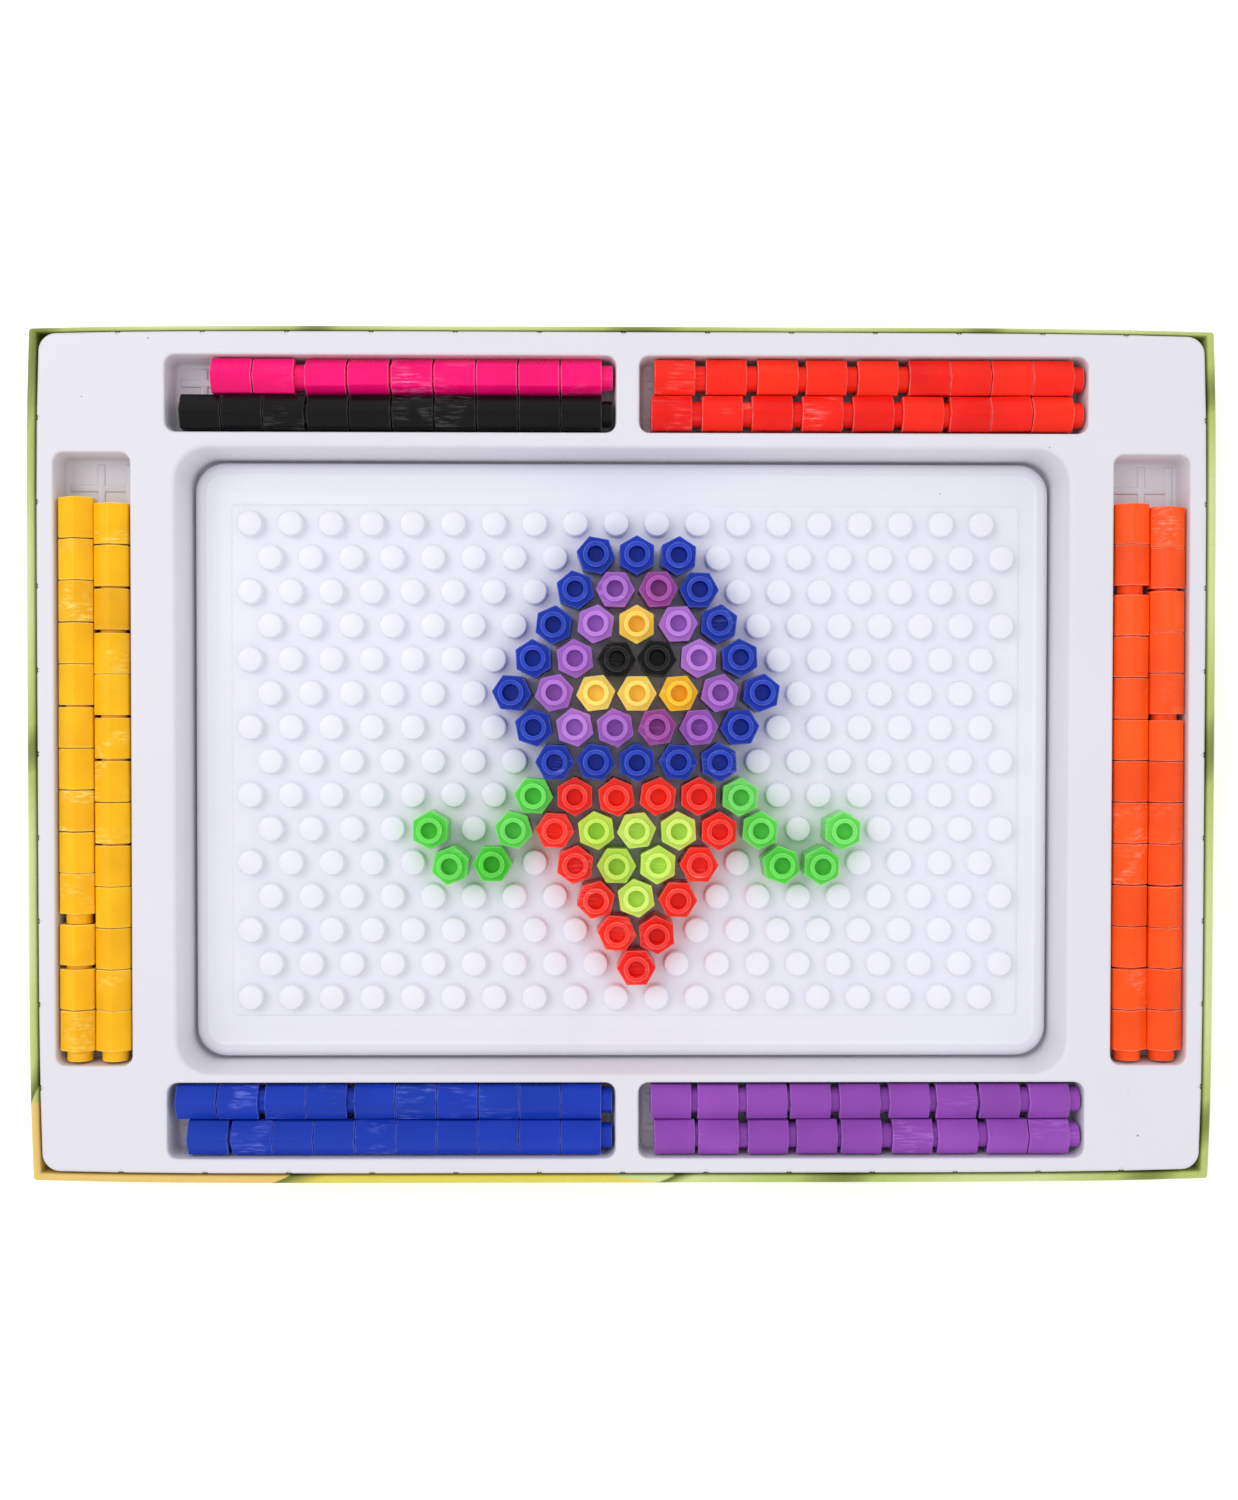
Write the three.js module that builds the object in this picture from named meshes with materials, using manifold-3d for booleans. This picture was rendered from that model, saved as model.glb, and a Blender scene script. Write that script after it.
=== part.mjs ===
// A mosaic bead kit: an open card box holds a formed tray, the tray holds a pegboard and six
// compartments, and hexagonal beads stand on the pegs or lie plugged together as sticks.
// Millimetres, +Z up. The origin is the centre of the box's underside and +X is its long side.

import * as THREE from "three";
import { mergeVertices } from "three/addons/utils/BufferGeometryUtils.js";
import Module from "manifold-3d";

// Bead: a hexagonal body with a round stud on one end and a socket for a stud or a peg in the other.
const BEAD_FLATS = 10; // across the flats
const BEAD_LENGTH = 11.8; // without the stud
const STUD_LENGTH = 3.2;
const SOCKET_DEPTH = 4.2;
const HOLE_DIAMETER = 5; // moulded hole down the stud
const HOLE_DEPTH = 7;
const PEG_CLEARANCE = 0.25; // socket wall to peg or stud
const BEAD_TURN = 7; // degrees that a bead may stand turned on its peg

// Pegboard: staggered rows of pegs on a shallow plate with a rounded shoulder.
const COLUMNS = 19;
const ROWS = 15;
const BEAD_SPACING = 2; // between beads that are neighbours in a row
const ROW_SHARE = 0.834; // distance between rows, over the distance between pegs in a row
const PEG_DIAMETER = 7.5;
const PEG_HEIGHT = 3.5;
const BORDER_X = 16; // last peg centre to the board's edge, on average
const BORDER_Y = 18.4;
const PEG_FIELD_SHIFT = 1; // the peg field stands this far off centre, towards +X
const FIELD_MARGIN = 5; // last peg centre to the edge of the raised field
const FIELD_STEP = 0.4;
const BOARD_HEIGHT = 6;
const BOARD_PLATE = 2;
const BOARD_CORNER = 9;
const SHOULDER = 4.5; // width of the rounded edge
const SHOULDER_DROP = 3;
const BOARD_FOOT = 6; // width of the solid band under the edge

// Formed tray
const SHEET = 1;
const DRAFT = 0.08; // pocket walls lean outwards by this much for each millimetre up
const TRAY_CORNER = 5;
const POCKET_CORNER = 3;
const RECESS_CORNER = 9.5;
const OUTER_RIM_SIDE = 5; // tray edge to a side compartment
const OUTER_RIM_FAR = 5.6; // tray edge to the compartments on the +Y side
const OUTER_RIM_NEAR = 4.5; // and on the -Y side
const INNER_RIM_SIDE = 13; // compartment to the recess of the board
const INNER_RIM_FAR = 4.6;
const INNER_RIM_NEAR = 2.6;
const CORNER_RIM = 4; // least gap between a side compartment and the next one round the corner
const DIVIDER = 6.7; // between the two compartments of one long side
const DIVIDER_X = 1.2;
const SIDE_ROW_Y = 0.5; // middle of the side compartments
const SIDE_SPARE = 10.5; // room that the side sticks leave free at their socket ends
const STICK_PROUD = 1.3; // sticks stand this far above the rim
const BEAD_PROUD = 1.2; // and so do the studs of the beads on the board

// Clearances
const REST_GAP = 0.3; // between a piece and what it lies on
const FLOOR_GAP = 0.8; // stick to compartment floor, where thin ribs carry it
const STICK_GAP = 0.3; // between two sticks, and from a stick to the long walls
const STUD_END_GAP = 0.6; // stud to the end wall, which has rounded corners
const SOCKET_END_GAP = 1.9; // longest stick's other end to its end wall
const BOARD_GAP = 0.5; // board edge to recess wall at the floor
const TRAY_GAP = 0.6; // tray skirt to box wall

// Card box
const BOX_HEIGHT = 30;
const CARD = 2.2;

const CORNER_STEPS = 3; // straight pieces in a rounded corner
const SIDES = 6;
const OVERCUT = 1; // how far a cutting shape runs past the face it opens
const BITE = 0.6; // how far joined shapes run into each other
const CLOSED_GAP = 0.75; // beads nearer than this in a stick are drawn as touching
const WEB_WIDTH = 3;
const WEB_HEIGHT = 1;

// Each stick: node name, colour, compartment, lane, and the gaps between its beads in millimetres,
// read from the socket end to the stud end.
const STICKS = [
  ["pink_stick", "pink", "far_left", 1, [0.4, 3.1, 0.6, 0.7, 0.5, 0.4, 0.4, 0.4]],
  ["black_stick", "black", "far_left", -1, [0.3, 0.2, 0.9, 0.4, 0.5, 0.4, 0.4, 0.3, 0.3]],
  ["red_stick_far", "red", "far_right", 1, [3.1, 3.1, 2.3, 3.1, 3.1, 0.1, 0.3, 0.1]],
  ["red_stick_near", "red", "far_right", -1, [2.9, 2.6, 2.8, 2.9, 2.6, 1.9, 0.1, 0.3]],
  ["yellow_stick_outer", "yellow", "left", -1,
    [0.3, 0.2, 0.3, 0.2, 0.6, 0.2, 0.3, 0.3, 0.1, 3.1, 1.1, 0.3]],
  ["yellow_stick_inner", "yellow", "left", 1,
    [0.4, 0.7, 1.0, 0.1, 0.8, 0.7, 0.3, 0.6, 0.2, 0.2, 0.2, 0.1]],
  ["orange_stick_inner", "orange", "right", -1,
    [0.1, 2.8, 0.3, 0.3, 0.2, 0.3, 0.3, 0.2, 0.3, 0.3, 0.5, 0.2]],
  ["orange_stick_outer", "orange", "right", 1,
    [0.1, 0.8, 0.1, 0.2, 1.8, 0.2, 0.3, 0.2, 0.6, 0.1, 0.3, 0.2]],
  ["blue_stick_far", "blue", "near_left", 1, [0.3, 2.0, 0.1, 2.2, 0.2, 0.2, 0.3, 0.1, 0.1]],
  ["blue_stick_near", "blue", "near_left", -1, [1.0, 0.1, 0.2, 0.1, 0.1, 0.1, 0.1, 0.2, 0.2]],
  ["purple_stick_far", "purple", "near_right", 1, [1.9, 2.5, 0.9, 2.6, 2.6, 2.0, 0.9, 2.6]],
  ["purple_stick_near", "purple", "near_right", -1, [1.0, 2.7, 2.4, 1.2, 3.1, 1.4, 2.8, 0.3]],
];

// The figure on the board: peg row counted from the +Y side, the first bead's place in steps of the
// peg spacing from the field's middle, and a letter for each bead with a dot for a bare peg.
const FIGURE = [
  [2, -1, "BBB"],
  [3, -1.5, "BPMB"],
  [4, -2, "BPYPB"],
  [5, -2.5, "BPKKPB"],
  [6, -3, "BPYYYPB"],
  [7, -2.5, "BPPMPB"],
  [8, -2, "BBBBB"],
  [9, -2.5, "GRRRRG"],
  [10, -5, "G.GRLLLRG.G"],
  [11, -4.5, "GG.RLLR.GG"],
  [12, -1, "RLR"],
  [13, -0.5, "RR"],
  [14, 0, "R"],
];
const LETTERS = {
  B: "blue", P: "purple", M: "magenta", Y: "yellow", K: "black", G: "green", R: "red", L: "lime",
};

const FINISH = {
  card: [0x9fae2c, 0.6],
  tray: [0xe4e3ea, 0.45],
  board: [0xf0eff5, 0.4],
  pink: [0xf81e78, 0.3],
  black: [0x201c20, 0.35],
  red: [0xf63c2a, 0.3],
  yellow: [0xfbc42c, 0.3],
  orange: [0xfc622c, 0.3],
  blue: [0x2c4ab4, 0.3],
  purple: [0x9658b4, 0.3],
  magenta: [0xb4409c, 0.3],
  green: [0x50c040, 0.3],
  lime: [0xb4dc60, 0.3],
};

// Sizes that follow from those above
const beadRadius = BEAD_FLATS / 2 / Math.cos(Math.PI / SIDES);
const pegRadius = PEG_DIAMETER / 2;
const socketRadius = pegRadius + PEG_CLEARANCE / Math.cos(Math.PI / SIDES);
const pitch = BEAD_FLATS + BEAD_SPACING;
const rowPitch = pitch * ROW_SHARE;
const fieldLength = (COLUMNS - 0.5) * pitch; // between the outermost peg centres
const fieldWidth = (ROWS - 1) * rowPitch;
const boardLength = fieldLength + 2 * BORDER_X;
const boardWidth = fieldWidth + 2 * BORDER_Y;

const stickLength = (gaps) =>
  (gaps.length + 1) * BEAD_LENGTH + gaps.reduce((sum, gap) => sum + gap, 0) + STUD_LENGTH;
const longestStick = (compartments) =>
  Math.max(...STICKS.filter((s) => compartments.includes(s[2])).map((s) => stickLength(s[4])));

const compartmentDepth = FLOOR_GAP + 2 * beadRadius - STICK_PROUD;
const stickHeight = FLOOR_GAP + beadRadius; // stick axis above the compartment floor
const leanAtAxis = DRAFT * (compartmentDepth - stickHeight);
const leanAtFlats = leanAtAxis + (DRAFT * beadRadius) / 2;
const laneOffset = (BEAD_FLATS + STICK_GAP) / 2;
const compartmentWidth = 2 * BEAD_FLATS + 3 * STICK_GAP + 2 * leanAtFlats;
const endRoom = STUD_END_GAP + SOCKET_END_GAP + 2 * leanAtAxis;
const rowLength = longestStick(["far_left", "far_right", "near_left", "near_right"]) + endRoom;
const sideLength = longestStick(["left", "right"]) + endRoom + SIDE_SPARE;

const rimZ = BOX_HEIGHT;
const boardTop = rimZ - (BEAD_LENGTH + STUD_LENGTH + REST_GAP - BEAD_PROUD);
const boardBottom = boardTop - BOARD_HEIGHT;
const recessFloor = boardBottom - REST_GAP;
const recessDepth = rimZ - recessFloor;
const recessLength = boardLength + 2 * (BOARD_GAP + DRAFT * recessDepth);
const recessWidth = boardWidth + 2 * (BOARD_GAP + DRAFT * recessDepth);

// Distances from the middle of the recess to the near edges of the compartments round it
const farEdge = Math.max(
  recessWidth / 2 + INNER_RIM_FAR,
  SIDE_ROW_Y + sideLength / 2 + CORNER_RIM,
);
const nearEdge = Math.max(
  recessWidth / 2 + INNER_RIM_NEAR,
  sideLength / 2 - SIDE_ROW_Y + CORNER_RIM,
);
const sideEdge = recessLength / 2 + INNER_RIM_SIDE;
const trayWidth = farEdge + nearEdge + 2 * compartmentWidth + OUTER_RIM_FAR + OUTER_RIM_NEAR;
const trayLength = Math.max(
  2 * (sideEdge + compartmentWidth + OUTER_RIM_SIDE),
  2 * (rowLength + DIVIDER / 2 + Math.abs(DIVIDER_X) + OUTER_RIM_SIDE),
);
const recessY = (nearEdge + OUTER_RIM_NEAR - farEdge - OUTER_RIM_FAR) / 2;
const farRowY = recessY + farEdge + compartmentWidth / 2;
const nearRowY = recessY - nearEdge - compartmentWidth / 2;
const sideX = sideEdge + compartmentWidth / 2;
const rowOffset = (DIVIDER + rowLength) / 2;

const COMPARTMENTS = {
  far_left: { x: DIVIDER_X - rowOffset, y: farRowY, length: rowLength, width: compartmentWidth },
  far_right: { x: DIVIDER_X + rowOffset, y: farRowY, length: rowLength, width: compartmentWidth },
  near_left: { x: DIVIDER_X - rowOffset, y: nearRowY, length: rowLength, width: compartmentWidth },
  near_right: { x: DIVIDER_X + rowOffset, y: nearRowY, length: rowLength, width: compartmentWidth },
  left: { x: -sideX, y: recessY + SIDE_ROW_Y, length: compartmentWidth, width: sideLength },
  right: { x: sideX, y: recessY + SIDE_ROW_Y, length: compartmentWidth, width: sideLength },
};

const wasm = await Module();
wasm.setup();

// A closed three.js geometry as a solid that can be joined and cut.
function solid(geometry) {
  const bare = geometry.clone().deleteAttribute("normal").deleteAttribute("uv");
  const merged = mergeVertices(bare, 1e-4);
  return new wasm.Manifold(
    new wasm.Mesh({
      numProp: 3,
      vertProperties: merged.attributes.position.array,
      triVerts: new Uint32Array(merged.index.array),
    }),
  );
}

const join = (solids) => solids.reduce((whole, piece) => whole.add(piece));

// The solid's surface as a geometry with flat faces.
function surface(body) {
  const mesh = body.getMesh();
  const geometry = new THREE.BufferGeometry();
  geometry.setAttribute("position", new THREE.BufferAttribute(mesh.vertProperties, 3));
  geometry.setIndex(new THREE.BufferAttribute(mesh.triVerts, 1));
  const flat = geometry.toNonIndexed();
  flat.computeVertexNormals();
  return flat;
}

function roundedRectangle(length, width, radius) {
  const points = [];
  for (let corner = 0; corner < 4; corner++) {
    const towardsX = corner === 0 || corner === 3 ? 1 : -1;
    const towardsY = corner < 2 ? 1 : -1;
    for (let step = 0; step <= CORNER_STEPS; step++) {
      const angle = ((corner + step / CORNER_STEPS) * Math.PI) / 2;
      points.push(
        new THREE.Vector2(
          towardsX * (length / 2 - radius) + radius * Math.cos(angle),
          towardsY * (width / 2 - radius) + radius * Math.sin(angle),
        ),
      );
    }
  }
  return new THREE.Shape(points);
}

const slab = (outline, bottom, top) =>
  new THREE.ExtrudeGeometry(outline, { depth: top - bottom, bevelEnabled: false }).translate(
    0, 0, bottom,
  );

const block = (length, width, bottom, top) =>
  new THREE.BoxGeometry(length, width, top - bottom).translate(0, 0, (top + bottom) / 2);

// A prism with the given number of sides, one corner towards +Y before it is turned.
function prism(radius, bottom, top, turn = 0) {
  const points = [];
  for (let side = 0; side < SIDES; side++) {
    const angle = Math.PI / 2 + turn + (side * 2 * Math.PI) / SIDES;
    points.push(new THREE.Vector2(radius * Math.cos(angle), radius * Math.sin(angle)));
  }
  return slab(new THREE.Shape(points), bottom, top);
}

// A rounded rectangle whose walls lean in by DRAFT from its top down to its floor. Its length and
// width are the ones at the rim of the tray.
function leaningPocket(length, width, radius, floor, top) {
  const spread = 2 * DRAFT * (top - rimZ);
  const shape = slab(roundedRectangle(length + spread, width + spread, radius), floor, top);
  const place = shape.attributes.position;
  const lean = DRAFT * (top - floor);
  for (let i = 0; i < place.count; i++) {
    if (place.getZ(i) > (floor + top) / 2) continue;
    place.setX(i, place.getX(i) - Math.sign(place.getX(i)) * lean);
    place.setY(i, place.getY(i) - Math.sign(place.getY(i)) * lean);
  }
  return shape;
}

function boxBase() {
  const length = trayLength + 2 * TRAY_GAP;
  const width = trayWidth + 2 * TRAY_GAP;
  const outside = solid(block(length + 2 * CARD, width + 2 * CARD, 0, BOX_HEIGHT));
  return outside.subtract(solid(block(length, width, CARD, BOX_HEIGHT + OVERCUT)));
}

function tray() {
  const pockets = [
    { x: 0, y: recessY, length: recessLength, width: recessWidth, corner: RECESS_CORNER,
      floor: recessFloor },
  ];
  for (const place of Object.values(COMPARTMENTS)) {
    pockets.push({ ...place, corner: POCKET_CORNER, floor: rimZ - compartmentDepth });
  }
  const under = rimZ - SHEET;
  const foot = CARD + REST_GAP;
  const outline = roundedRectangle(trayLength, trayWidth, TRAY_CORNER);
  const inside = roundedRectangle(trayLength - 2 * SHEET, trayWidth - 2 * SHEET, TRAY_CORNER - SHEET);
  const hood = solid(slab(outline, foot, rimZ)).subtract(solid(slab(inside, foot - OVERCUT, under)));
  const cups = pockets.map((p) =>
    solid(
      leaningPocket(
        p.length + 2 * SHEET, p.width + 2 * SHEET, p.corner + SHEET, p.floor - SHEET, under + SHEET / 2,
      ).translate(p.x, p.y, 0),
    ),
  );
  const hollows = pockets.map((p) =>
    solid(leaningPocket(p.length, p.width, p.corner, p.floor, rimZ + OVERCUT).translate(p.x, p.y, 0)),
  );
  return join([hood, ...cups]).subtract(join(hollows));
}

// The place of a peg: its row from the +Y side, and its step along the row from the middle.
const pegPlace = (row, step) => ({
  x: PEG_FIELD_SHIFT + pitch / 4 + step * pitch,
  y: recessY + ((ROWS + 1) / 2 - row) * rowPitch,
});

function pegboard() {
  const core = roundedRectangle(
    boardLength - 2 * SHOULDER, boardWidth - 2 * SHOULDER, BOARD_CORNER - SHOULDER,
  );
  const dome = new THREE.ExtrudeGeometry(core, {
    depth: BOARD_HEIGHT,
    bevelThickness: SHOULDER_DROP,
    bevelSize: SHOULDER,
    bevelSegments: 2,
  });
  const border = boardTop - FIELD_STEP;
  dome.translate(0, recessY, border - BOARD_HEIGHT - SHOULDER_DROP);
  const below = block(2 * boardLength, 2 * boardWidth, boardBottom - 2 * BOARD_HEIGHT, boardBottom);
  const underside = block(
    boardLength - 2 * BOARD_FOOT, boardWidth - 2 * BOARD_FOOT,
    boardBottom - OVERCUT, boardTop - BOARD_PLATE,
  ).translate(0, recessY, 0);
  const field = block(
    fieldLength + 2 * FIELD_MARGIN, fieldWidth + 2 * FIELD_MARGIN, border - BITE, boardTop,
  ).translate(PEG_FIELD_SHIFT, recessY, 0);
  const pegs = [];
  for (let row = 1; row <= ROWS; row++) {
    const stagger = row % 2 ? -0.5 : 0;
    for (let column = 0; column < COLUMNS; column++) {
      const { x, y } = pegPlace(row, column - (COLUMNS - 1) / 2 + stagger);
      pegs.push(solid(prism(pegRadius, boardTop - BITE, boardTop + PEG_HEIGHT).translate(x, y, 0)));
    }
  }
  const plate = solid(dome).subtract(solid(below)).subtract(solid(underside));
  return plate.add(solid(field)).add(wasm.Manifold.union(pegs));
}

// The socket that a bead or a stick opens downwards, and the hole down its stud. Both follow the
// six-sided pegs, whichever way the bead is turned.
const socket = (bottom) => solid(prism(socketRadius, bottom - OVERCUT, bottom + SOCKET_DEPTH));
const studHole = (tip) => solid(prism(HOLE_DIAMETER / 2, tip - HOLE_DEPTH, tip + OVERCUT));

// A bead that stands on z = 0 with its stud up.
function bead(turn) {
  const tip = BEAD_LENGTH + STUD_LENGTH;
  const body = solid(prism(beadRadius, 0, BEAD_LENGTH, turn));
  const stud = solid(prism(pegRadius, BEAD_LENGTH - BITE, tip));
  return body.add(stud).subtract(socket(0)).subtract(studHole(tip));
}

// A stick of plugged beads that stands on z = 0, its stud up.
function stick(gaps) {
  const pieces = [];
  let start = 0;
  let end = BEAD_LENGTH;
  for (const gap of gaps) {
    if (gap < CLOSED_GAP) {
      end += gap + BEAD_LENGTH;
      continue;
    }
    pieces.push(solid(prism(beadRadius, start, end)));
    pieces.push(solid(prism(pegRadius, end - BITE, end + gap + BITE)));
    start = end + gap;
    end = start + BEAD_LENGTH;
  }
  const tip = end + STUD_LENGTH;
  pieces.push(solid(prism(beadRadius, start, end)), solid(prism(pegRadius, end - BITE, tip)));
  return join(pieces).subtract(socket(0)).subtract(studHole(tip));
}

// The turn of the bead on a peg, in radians: a different small angle from peg to peg.
const turnAt = (row, step) =>
  THREE.MathUtils.degToRad(BEAD_TURN) * Math.sin(2.4 * row * row + 1.7 * step * (row + 3));

// Beads that are modelled as one joined patch, because the kit has more beads than named nodes.
function patchOf(colour, row, step) {
  if (colour === "lime") return "lime_bead_patch";
  if (colour === "red") return step <= 0 ? "red_bead_patch_left" : "red_bead_patch_right";
  if (colour === "blue" && row === 8) return "blue_bead_row";
  return null;
}

// Beads of one patch on their pegs, joined by low webs between neighbours.
function patch(beads) {
  const pieces = beads.map(({ x, y, turn }) => bead(turn).translate([x, y, 0]));
  beads.forEach((a, i) => {
    for (const b of beads.slice(i + 1)) {
      const distance = Math.hypot(b.x - a.x, b.y - a.y);
      if (distance > 1.1 * pitch) continue;
      const web = block(distance - BEAD_FLATS + 2 * BITE, WEB_WIDTH, 0, WEB_HEIGHT);
      web.rotateZ(Math.atan2(b.y - a.y, b.x - a.x));
      web.translate((a.x + b.x) / 2, (a.y + b.y) / 2, 0);
      pieces.push(solid(web));
    }
  });
  return join(pieces);
}

const kit = new THREE.Group();
kit.name = "mosaic_bead_kit";

const materials = {};
for (const [slot, [color, roughness]] of Object.entries(FINISH)) {
  materials[slot] = new THREE.MeshStandardMaterial({ color, roughness, metalness: 0 });
}

function addMesh(parent, name, body, slot) {
  const mesh = new THREE.Mesh(surface(body), materials[slot]);
  mesh.name = name;
  parent.add(mesh);
  return mesh;
}

addMesh(kit, "box_base", boxBase(), "card");
addMesh(kit, "tray_insert", tray(), "tray");
addMesh(kit, "pegboard", pegboard(), "board");

for (const [name, colour, compartment, lane, gaps] of STICKS) {
  const { x, y, length, width } = COMPARTMENTS[compartment];
  const mesh = addMesh(kit, name, stick(gaps), colour);
  const height = rimZ - compartmentDepth + stickHeight;
  const room = Math.max(length, width) / 2 - leanAtAxis - STUD_END_GAP - stickLength(gaps);
  if (length > width) {
    mesh.rotation.set(0, Math.PI / 2, Math.PI / 2, "YXZ");
    mesh.position.set(x + room, y + lane * laneOffset, height);
  } else {
    mesh.rotation.set(Math.PI / 2, 0, 0);
    mesh.position.set(x + lane * laneOffset, y - room, height);
  }
}

// The beads on the board stand in a group whose z = 0 is just above the peg field.
const figure = new THREE.Group();
figure.name = "figure";
figure.position.z = boardTop + REST_GAP;
kit.add(figure);

const patches = {};
const counts = {};
for (const [row, first, letters] of FIGURE) {
  [...letters].forEach((letter, i) => {
    if (letter === ".") return;
    const colour = LETTERS[letter];
    const step = first + i;
    const { x, y } = pegPlace(row, step);
    const turn = turnAt(row, step);
    const patchName = patchOf(colour, row, step);
    if (patchName) {
      patches[patchName] ??= { colour, beads: [] };
      patches[patchName].beads.push({ x, y, turn });
      return;
    }
    counts[colour] = (counts[colour] ?? 0) + 1;
    const number = String(counts[colour]).padStart(2, "0");
    const mesh = addMesh(figure, `${colour}_bead_${number}`, bead(turn), colour);
    mesh.position.set(x, y, 0);
  });
}
for (const [name, { colour, beads }] of Object.entries(patches)) {
  addMesh(figure, name, patch(beads), colour);
}

export default kit;
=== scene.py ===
"""A hexagonal bead mosaic kit: card box, formed tray, pegboard, and beads on it and in sticks.

Every length is in metres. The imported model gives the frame: the box, the tray, the pegboard and
the beads stand where its nodes stand, and each piece rides on that node's body.
"""

import math
import random

import bmesh
import bpy
from bpy.props import FloatProperty, FloatVectorProperty, PointerProperty
from mathutils import Euler, Matrix, Vector


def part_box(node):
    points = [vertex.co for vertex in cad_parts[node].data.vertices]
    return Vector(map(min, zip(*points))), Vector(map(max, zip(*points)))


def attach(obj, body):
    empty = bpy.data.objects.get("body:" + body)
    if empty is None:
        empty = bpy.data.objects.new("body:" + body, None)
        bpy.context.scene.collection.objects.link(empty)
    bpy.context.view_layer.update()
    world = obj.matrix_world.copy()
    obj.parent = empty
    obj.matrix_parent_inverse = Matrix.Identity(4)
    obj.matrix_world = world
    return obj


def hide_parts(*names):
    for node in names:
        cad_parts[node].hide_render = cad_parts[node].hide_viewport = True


bl_info = {
    "name": "Bead mosaic kit",
    "version": (1, 0, 0),
    "blender": (4, 5, 0),
    "location": "View3D > Sidebar > Bead kit",
    "description": "Builds a boxed mosaic kit of hexagonal beads around its packed frame",
    "category": "Object",
}

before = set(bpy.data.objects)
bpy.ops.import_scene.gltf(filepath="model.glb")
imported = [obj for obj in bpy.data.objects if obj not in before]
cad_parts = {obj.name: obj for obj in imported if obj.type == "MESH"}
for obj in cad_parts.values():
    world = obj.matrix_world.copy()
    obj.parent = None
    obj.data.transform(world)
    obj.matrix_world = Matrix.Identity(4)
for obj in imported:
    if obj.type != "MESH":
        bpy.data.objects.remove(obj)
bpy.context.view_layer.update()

MM = 0.001
TAU = 2 * math.pi
PEG_ROWS = 15
PEG_COLUMNS = 19
MIDDLE_ROW = 8  # counted from the +Y side, from 1
BEAD_POINTS = 18  # round a bead: three to a corner of its hexagon
PEG_POINTS = 14  # round a peg
RIB_BEVEL = 0.35 * MM
BEAD_SEED = 7  # for the leaning of the beads on the board
STICK_SEED = 11  # for the rolling of the beads in the sticks

# The figure on the board: peg row counted from the +Y side, the first bead's place in steps of the
# peg spacing from the field's middle, a letter for each bead with a dot for a bare peg, and each
# bead's turn in degrees from a corner straight up.
FIGURE = (
    (2, -1, "BBB", (20, 0, -3)),
    (3, -1.5, "BPMB", (10, 28, 33, 29)),
    (4, -2, "BPYPB", (-7, -8, 0, 33, -7)),
    (5, -2.5, "BPKKPB", (3, 5, 28, 24, -4, 3)),
    (6, -3, "BPYYYPB", (26, -17, 37, 30, 35, -13, -9)),
    (7, -2.5, "BPPMPB", (11, 10, 8, 39, 34, 34)),
    (8, -2, "BBBBB", (29, 22, 4, 27, 4)),
    (9, -2.5, "GRRRRG", (25, 0, 8, -8, -2, -3)),
    (10, -5, "G.GRLLLRG.G", (0, 0, 17, 26, 7, 37, 3, -2, -5, 0, -3)),
    (11, -4.5, "GG.RLLR.GG", (-10, 30, 0, -7, 29, -3, 29, 0, 10, -3)),
    (12, -1, "RLR", (-15, 9, 28)),
    (13, -0.5, "RR", (25, 4)),
    (14, 0, "R", (31,)),
)
LETTERS = {
    "B": "blue",
    "P": "purple",
    "M": "magenta",
    "Y": "yellow",
    "K": "black",
    "G": "green",
    "R": "red",
    "L": "lime",
}

# The gaps between the beads of each stick in millimetres, from the socket end to the stud end.
STICK_GAPS = {
    "pink_stick": (0.4, 3.1, 0.6, 0.7, 0.5, 0.4, 0.4, 0.4),
    "black_stick": (0.3, 0.2, 0.9, 0.4, 0.5, 0.4, 0.4, 0.3, 0.3),
    "red_stick_far": (3.1, 3.1, 2.3, 3.1, 3.1, 0.1, 0.3, 0.1),
    "red_stick_near": (2.9, 2.6, 2.8, 2.9, 2.6, 1.9, 0.1, 0.3),
    "yellow_stick_outer": (0.3, 0.2, 0.3, 0.2, 0.6, 0.2, 0.3, 0.3, 0.1, 3.1, 1.1, 0.3),
    "yellow_stick_inner": (0.4, 0.7, 1.0, 0.1, 0.8, 0.7, 0.3, 0.6, 0.2, 0.2, 0.2, 0.1),
    "orange_stick_inner": (0.1, 2.8, 0.3, 0.3, 0.2, 0.3, 0.3, 0.2, 0.3, 0.3, 0.5, 0.2),
    "orange_stick_outer": (0.1, 0.8, 0.1, 0.2, 1.8, 0.2, 0.3, 0.2, 0.6, 0.1, 0.3, 0.2),
    "blue_stick_far": (0.3, 2.0, 0.1, 2.2, 0.2, 0.2, 0.3, 0.1, 0.1),
    "blue_stick_near": (1.0, 0.1, 0.2, 0.1, 0.1, 0.1, 0.1, 0.2, 0.2),
    "purple_stick_far": (1.9, 2.5, 0.9, 2.6, 2.6, 2.0, 0.9, 2.6),
    "purple_stick_near": (1.0, 2.7, 2.4, 1.2, 3.1, 1.4, 2.8, 0.3),
}
# Stray dark specks in the white plastics: x, y and radius in millimetres.
TRAY_SPECKS = (
    (-136.7, 120.3, 0.25),
    (-155.8, 103.5, 0.2),
    (123.3, 89.6, 0.2),
    (150.2, -110.4, 0.3),
    (147.3, -97.0, 0.15),
    (-126.2, -54.5, 0.3),
)
BOARD_SPECKS = ((94.3, 78.0, 0.2),)
DENSE = ("black", "blue", "purple", "magenta")  # plastics that light hardly enters
# How many steps of tone paler the beads on the board are than those in the sticks.
PALER = {"purple": 2.6, "green": 1.8, "lime": 1.8, "yellow": 2}
LAID_FLAT = {"pink_stick": 2}  # beads from this one on lie on a flat, not with a corner up


def srgb(code):
    """A colour written as six hex digits, as the linear values that shaders take."""
    parts = [int(code[i : i + 2], 16) / 255 for i in (0, 2, 4)]
    return tuple(p / 12.92 if p <= 0.04045 else ((p + 0.055) / 1.055) ** 2.4 for p in parts)


def length(name, description, millimetres):
    return FloatProperty(
        name=name, description=description, default=millimetres * MM, unit="LENGTH", precision=5
    )


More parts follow.
